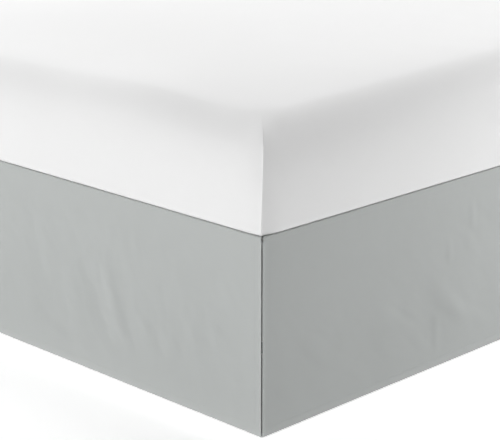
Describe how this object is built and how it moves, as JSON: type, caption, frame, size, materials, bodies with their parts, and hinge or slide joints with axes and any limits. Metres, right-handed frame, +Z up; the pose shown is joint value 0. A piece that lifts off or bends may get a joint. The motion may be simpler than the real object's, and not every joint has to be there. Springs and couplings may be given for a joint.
{
  "type": "bed skirt on a bed with mattress",
  "caption": "Tailored bed skirt in plain grey cloth with split corners, hanging to the floor from under the mattress of a plain bed on a metal frame.",
  "frame": {"origin": "on the floor, under the centre of the bed", "axes": "+Z up, -Y towards the foot end, +Y towards the open head end, +X to the bed's right-hand side seen from the foot"},
  "size_m": [1.526, 2.036, 0.6221],
  "materials": {
    "skirt_cloth": "plain grey woven cloth, matt",
    "mattress_cover": "plain white sheeting, matt",
    "base_cover": "plain off-white woven cover, matt",
    "frame_steel": "black powder coat, satin",
    "glide_plastic": "black moulded plastic"
  },
  "bodies": {
    "root": {"deck": "skirt_cloth", "foot_panel": "skirt_cloth", "right_panel": "skirt_cloth", "left_panel": "skirt_cloth", "mattress": "mattress_cover", "base": "base_cover", "rail_left": "frame_steel", "rail_right": "frame_steel", "cross_bar_foot": "frame_steel", "cross_bar_middle": "frame_steel", "cross_bar_head": "frame_steel", "leg_foot_left": "frame_steel", "leg_foot_centre": "frame_steel", "leg_foot_right": "frame_steel", "leg_middle_left": "frame_steel", "leg_middle_centre": "frame_steel", "leg_middle_right": "frame_steel", "leg_head_left": "frame_steel", "leg_head_centre": "frame_steel", "leg_head_right": "frame_steel", "glide_foot_left": "glide_plastic", "glide_foot_centre": "glide_plastic", "glide_foot_right": "glide_plastic", "glide_middle_left": "glide_plastic", "glide_middle_centre": "glide_plastic", "glide_middle_right": "glide_plastic", "glide_head_left": "glide_plastic", "glide_head_centre": "glide_plastic", "glide_head_right": "glide_plastic"}
  },
  "joints": []
}
